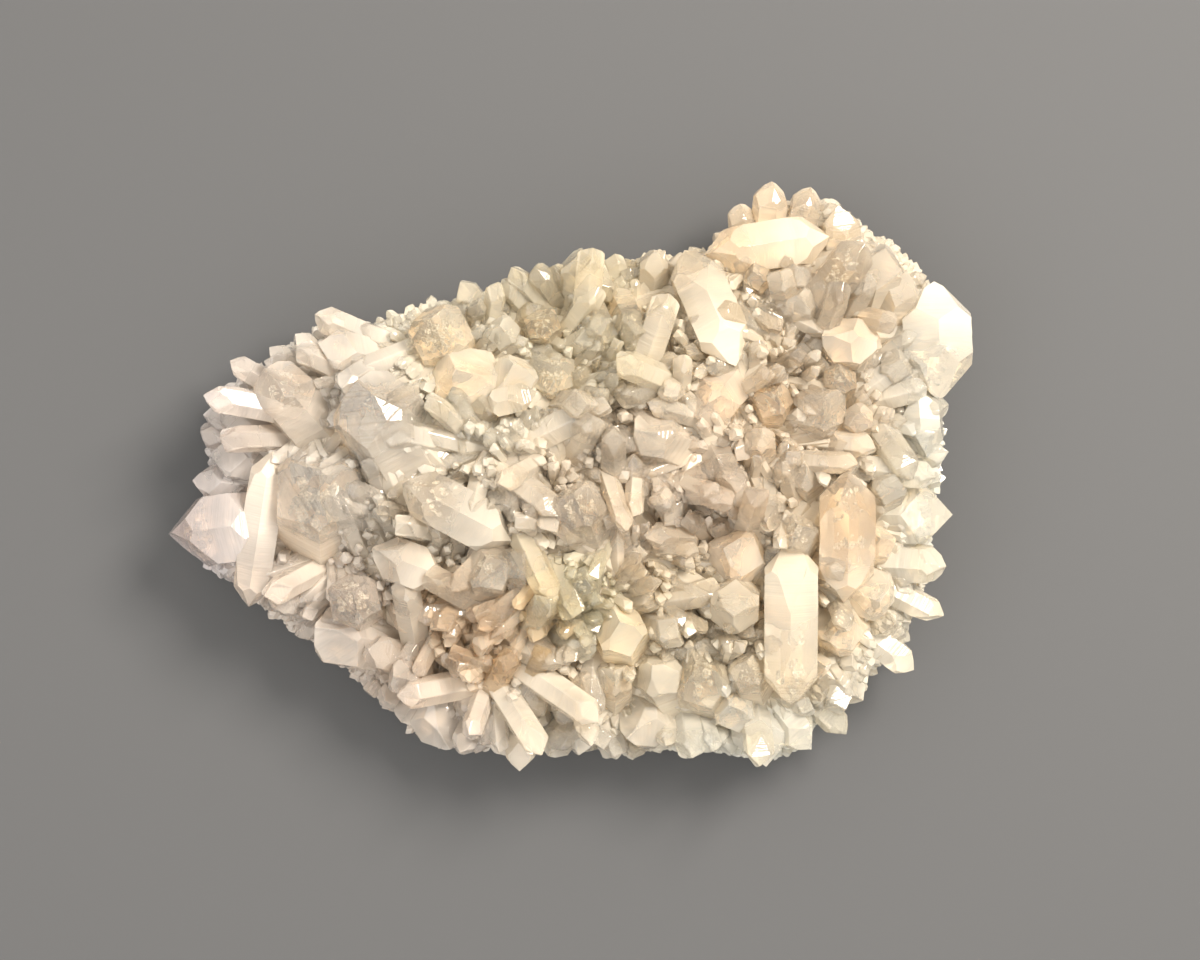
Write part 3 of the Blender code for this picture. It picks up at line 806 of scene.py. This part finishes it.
rock_tints_and_light = []
for corner in bed.data.vertices:
    spot = pressed(corner.co)
    # The rock's top between the points takes more of the gaps' iron stain and painted shade than its
    # outer wall, which takes less the lower it goes
    side = max(0.0, 1.0 - spot.z / RIM_HEIGHT)
    rock_tints_and_light.append(colour_with_painted_light_at(spot.x, spot.y, 0.6 - 0.4 * side))
    spot = broken(spot)
    corner.co = (spot.x * MM, spot.y * MM, max(spot.z, 0.0) * MM)
rock_tint_and_light_layer = bed.data.attributes.new("tint_and_painted_light", "FLOAT_VECTOR", "POINT")
rock_tint_and_light_layer.data.foreach_set("vector", np.array(rock_tints_and_light).ravel())
finished(bed, bed_rock)
print("the bed has", len(bed.data.polygons), "faces")

# %% [markdown]
# ## The points between
# Between the big points the bed is packed with middling ones, 2 to 6 mm wide, and then
# with small ones, 1 to 3 mm wide. Each is rooted where there is room: straight above its
# root, no big point may stand more than 4 mm over the rock. In the middle of the bed they
# lean in fans, each its own way, and near the rim they all lean outwards.

# %% Room for more
def tree_of(*pieces):
    """All corners and faces of some pieces, in millimetres, for straight lines to meet."""
    corners, faces = [], []
    for piece in pieces:
        start = len(corners)
        corners += [tuple(corner.co / MM) for corner in piece.data.vertices]
        faces += [[start + place for place in face.vertices] for face in piece.data.polygons]
    return BVHTree.FromPolygons(corners, faces)


rock_tree = tree_of(bed)
big_tree = tree_of(clear_points, milky_points)
DOWN = Vector((0.0, 0.0, -1.0))
SKY = 80.0


def seen_from_above(tree, x, y):
    """The first place that a straight line down meets, or else one on the table."""
    spot, _, _, _ = tree.ray_cast(Vector((x, y, SKY)), DOWN)
    return spot if spot else Vector((x, y, 0.0))


FAN = 17.0
STRAY = 0.22


def leaning(x, y, tilt, spread, draw):
    """A direction that leans by about tilt degrees. Neighbours lean alike, in fans about
    FAN millimetres across, and towards the rim they all lean outwards."""
    share = min(rim_share(x, y), 1.0) ** 3
    fan = math.pi * 2.4 * rough(x, y, 31.0, FAN)
    way = Vector((math.cos(fan), math.sin(fan), 0.0)) * (1.0 - share)
    way = (way + Vector((x, y, 0.0)).normalized() * share).normalized()
    slant = math.radians(tilt + draw.uniform(-1.0, 1.0) * spread)
    stray = Vector((draw.gauss(0, 1), draw.gauss(0, 1), draw.gauss(0, 1))).normalized()
    axis = way * math.sin(slant) + Vector((0.0, 0.0, math.cos(slant))) + stray * STRAY
    return axis.normalized()


# The box that all tips of the smaller points stay in, in millimetres
LIMIT_LOW = Vector((-91.5, -67.5, 0.6))
LIMIT_HIGH = Vector((91.5, 67.5, 47.5))


def inside_limits(spot):
    return all(LIMIT_LOW[axis] < spot[axis] < LIMIT_HIGH[axis] for axis in range(3))


# A big point this far over the rock leaves no room for a root, and one that reaches
# this high counts as being under a tip
COVER = 4.0
UNDER_TIP = 6.0
# Towards the rim, from the first share of the outline over the second, points grow
# shorter, by up to SHORTER of their length
SHORTER_FROM = 0.72
SHORTER_OVER = 0.22
SHORTER = 0.62


def scatter(patterns, tries, widths, slenderness, gap, draw, tilts, spread, reach):
    """Roots points in the free places of the bed. tilts are the leans in the middle and at
    the rim. No tip stands clear over a big point, as seen from above."""
    cell = widths[1]
    taken = {}
    places = []
    for _ in range(tries):
        angle = draw.uniform(-math.pi, math.pi)
        share = reach * math.sqrt(draw.random())
        radius = rim_radius(angle) * share
        x, y = radius * math.cos(angle), radius * math.sin(angle)
        rock = seen_from_above(rock_tree, x, y)
        top = seen_from_above(big_tree, x, y)
        if rock.z < BELLY_HEIGHT or top.z - rock.z > COVER:
            continue
        width = widths[0] + (widths[1] - widths[0]) * draw.random() ** 1.6
        near = [(int(x // cell) + i, int(y // cell) + j) for i in (-1, 0, 1) for j in (-1, 0, 1)]
        others = [other for key in near for other in taken.get(key, ())]
        if any(math.hypot(x - a, y - b) < gap * 0.5 * (width + w) for a, b, w in others):
            continue
        axis = leaning(x, y, tilts[0] + (tilts[1] - tilts[0]) * share ** 2, spread, draw)
        short = 1.0 - SHORTER * min(max((share - SHORTER_FROM) / SHORTER_OVER, 0.0), 1.0)
        tip = rock + axis * width * draw.uniform(*slenderness) * short
        under = seen_from_above(big_tree, tip.x, tip.y)
        if not inside_limits(tip) or UNDER_TIP < under.z < tip.z - 0.3 * width:
            continue
        taken.setdefault((int(x // cell), int(y // cell)), []).append((x, y, width))
        places.append((draw.choice(patterns), rock - axis * 0.5 * width, tip, width,
                       60 * draw.random(), draw.random(), draw.uniform(0.75, 1.2)))
    return places


# %% Middling points
draw = random.Random(17)
middling = scatter(
    MEDIUM_PATTERNS, tries=14000, widths=(2.2, 6.4), slenderness=(2.5, 4.8), gap=0.46,
    draw=draw, tilts=(50.0, 42.0), spread=26.0, reach=0.97,
)
# More of them are milky towards the rim
split = {"c": [], "m": []}
for place in middling:
    share = rim_share(place[2].x, place[2].y)
    split["m" if draw.random() < 0.2 + 0.5 * share else "c"].append(place)
grow("middling_clear_points", split["c"], clear_quartz)
grow("middling_milky_points", split["m"], milky_quartz)

# %% Small points
draw = random.Random(23)
small = scatter(
    SMALL_PATTERNS, tries=36000, widths=(1.2, 2.8), slenderness=(2.4, 4.8), gap=0.42,
    draw=draw, tilts=(36.0, 45.0), spread=35.0, reach=1.0,
)
MOST_SMALL_POINTS = 4900
grow("small_points", small[:MOST_SMALL_POINTS], sugar_quartz)

# %% [markdown]
# ## A burst of slender points
# South of the middle, slender clear points fan out from a small patch, where iron has
# stained the rock yellow. Each is turned 137.5 degrees on from the last, which spreads
# them evenly all round.

# %% The burst
BURST = (3.0, -28.0)
BURST_POINTS = 24
TURN_ON = 137.5
draw = random.Random(37)
burst = []
for count in range(BURST_POINTS):
    way = math.radians(TURN_ON * count)
    tilt = math.radians(draw.uniform(20.0, 68.0))
    axis = Vector((math.cos(way) * math.sin(tilt), math.sin(way) * math.sin(tilt), math.cos(tilt)))
    x, y = BURST[0] + draw.uniform(-3.5, 3.5), BURST[1] + draw.uniform(-3.5, 3.5)
    foot = Vector((x, y, bed_height(x, y) - 1.0))
    tip = foot + axis * draw.uniform(10.0, 15.0)
    burst.append((draw.choice(MEDIUM_PATTERNS), foot, tip, draw.uniform(2.2, 4.0),
                  60 * draw.random(), draw.random(), draw.uniform(0.75, 1.1)))
grow("burst_of_slender_points", burst, clear_quartz)

# %% [markdown]
# ## The sugary rim
# The wall of the slab and its rim are crusted with tiny points, 0.9 to 2.4 mm wide, which
# make the white, sugary edge. Their places are found by straight lines from outside.

# %% Sugar
OUTSIDE = 130.0


def sugar(count, draw, low_z, high_z):
    places = []
    for _ in range(count):
        angle = draw.uniform(-math.pi, math.pi)
        out = Vector((math.cos(angle), math.sin(angle), 0.0))
        start = out * OUTSIDE + Vector((0.0, 0.0, draw.uniform(low_z, high_z)))
        spot, normal, _, _ = rock_tree.ray_cast(start, -out)
        if spot is None:
            continue
        width = draw.uniform(0.9, 2.4)
        stray = Vector((draw.gauss(0, 1), draw.gauss(0, 1), draw.gauss(0, 1))).normalized()
        axis = (normal + stray * 0.8 + Vector((0.0, 0.0, 0.25))).normalized()
        tip = spot + axis * width * draw.uniform(0.8, 1.9)
        if not inside_limits(tip):
            continue
        places.append((draw.choice(SMALL_PATTERNS), spot - axis * 0.4 * width, tip, width,
                       60 * draw.random(), draw.random(), draw.uniform(0.7, 1.2)))
    return places


crust = sugar(count=4600, draw=random.Random(29), low_z=2.0, high_z=21.0)
grow("sugary_rim", crust, sugar_quartz)

# %% [markdown]
# ## Veils in the clear points
# Healed cracks show inside a clear point as thin white flakes, most of them near its end.
# Each is a thin closed plate with seven uneven corners, at its own slant.

# %% Veils
nothing_selected()
bpy.ops.mesh.primitive_cylinder_add(vertices=7, radius=0.5, depth=0.04, location=(0.0, 0.0, 0.0))
plate = bpy.context.object
draw = random.Random(41)
for corner in plate.data.vertices:
    spread = 0.9 + 0.7 * noise.noise(Vector((corner.co.x * 5.0, corner.co.y * 5.0, 3.0))) ** 2
    corner.co.x *= spread
    corner.co.y *= spread * 0.8
flat = plate.modifiers.new("triangles", "TRIANGULATE")
bpy.ops.object.modifier_apply(modifier=flat.name)
PLATE = (np.array([corner.co for corner in plate.data.vertices], float),
         np.array([face.vertices for face in plate.data.polygons], int))
bpy.data.objects.remove(plate, do_unlink=True)

# Thinner points than this, in millimetres, hold no veils
THINNEST_VEILED = 7.0
flake_places = []
for _, foot, tip, width, *_ in big["c"]:
    if width < THINNEST_VEILED:
        continue
    axis = (foot - tip).normalized()
    for _ in range(int(width * 2.2)):
        depth = width * (0.62 + 1.5 * draw.random() ** 1.5)
        side = Vector((draw.uniform(-1, 1), draw.uniform(-1, 1), draw.uniform(-1, 1))) * 0.17 * width
        middle = tip + axis * min(depth, 0.8 * (foot - tip).length) + side
        slant = Vector((draw.gauss(0, 1), draw.gauss(0, 1), draw.gauss(0, 1) + 0.6)).normalized()
        size = width * draw.uniform(0.08, 0.24)
        flake_places.append((middle, slant, size, draw.uniform(0.0, 6.28)))
veil_corners, veil_faces = [], []
for middle, slant, size, spin in flake_places:
    aim = slant.to_track_quat("Z", "Y").to_matrix() @ Matrix.Rotation(spin, 3, "Z")
    veil_faces.append(PLATE[1] + len(PLATE[0]) * len(veil_corners))
    veil_corners.append((PLATE[0] * size) @ np.array(aim).T + np.array(middle))
veil_mesh = bpy.data.meshes.new("healed_veils")
veil_corners = np.concatenate(veil_corners) * MM
veil_mesh.from_pydata(veil_corners.tolist(), [], np.concatenate(veil_faces).tolist())
veils = bpy.data.objects.new("healed_veils", veil_mesh)
bpy.context.scene.collection.objects.link(veils)
finished(veils, healed_crack)
print("veils:", len(flake_places))
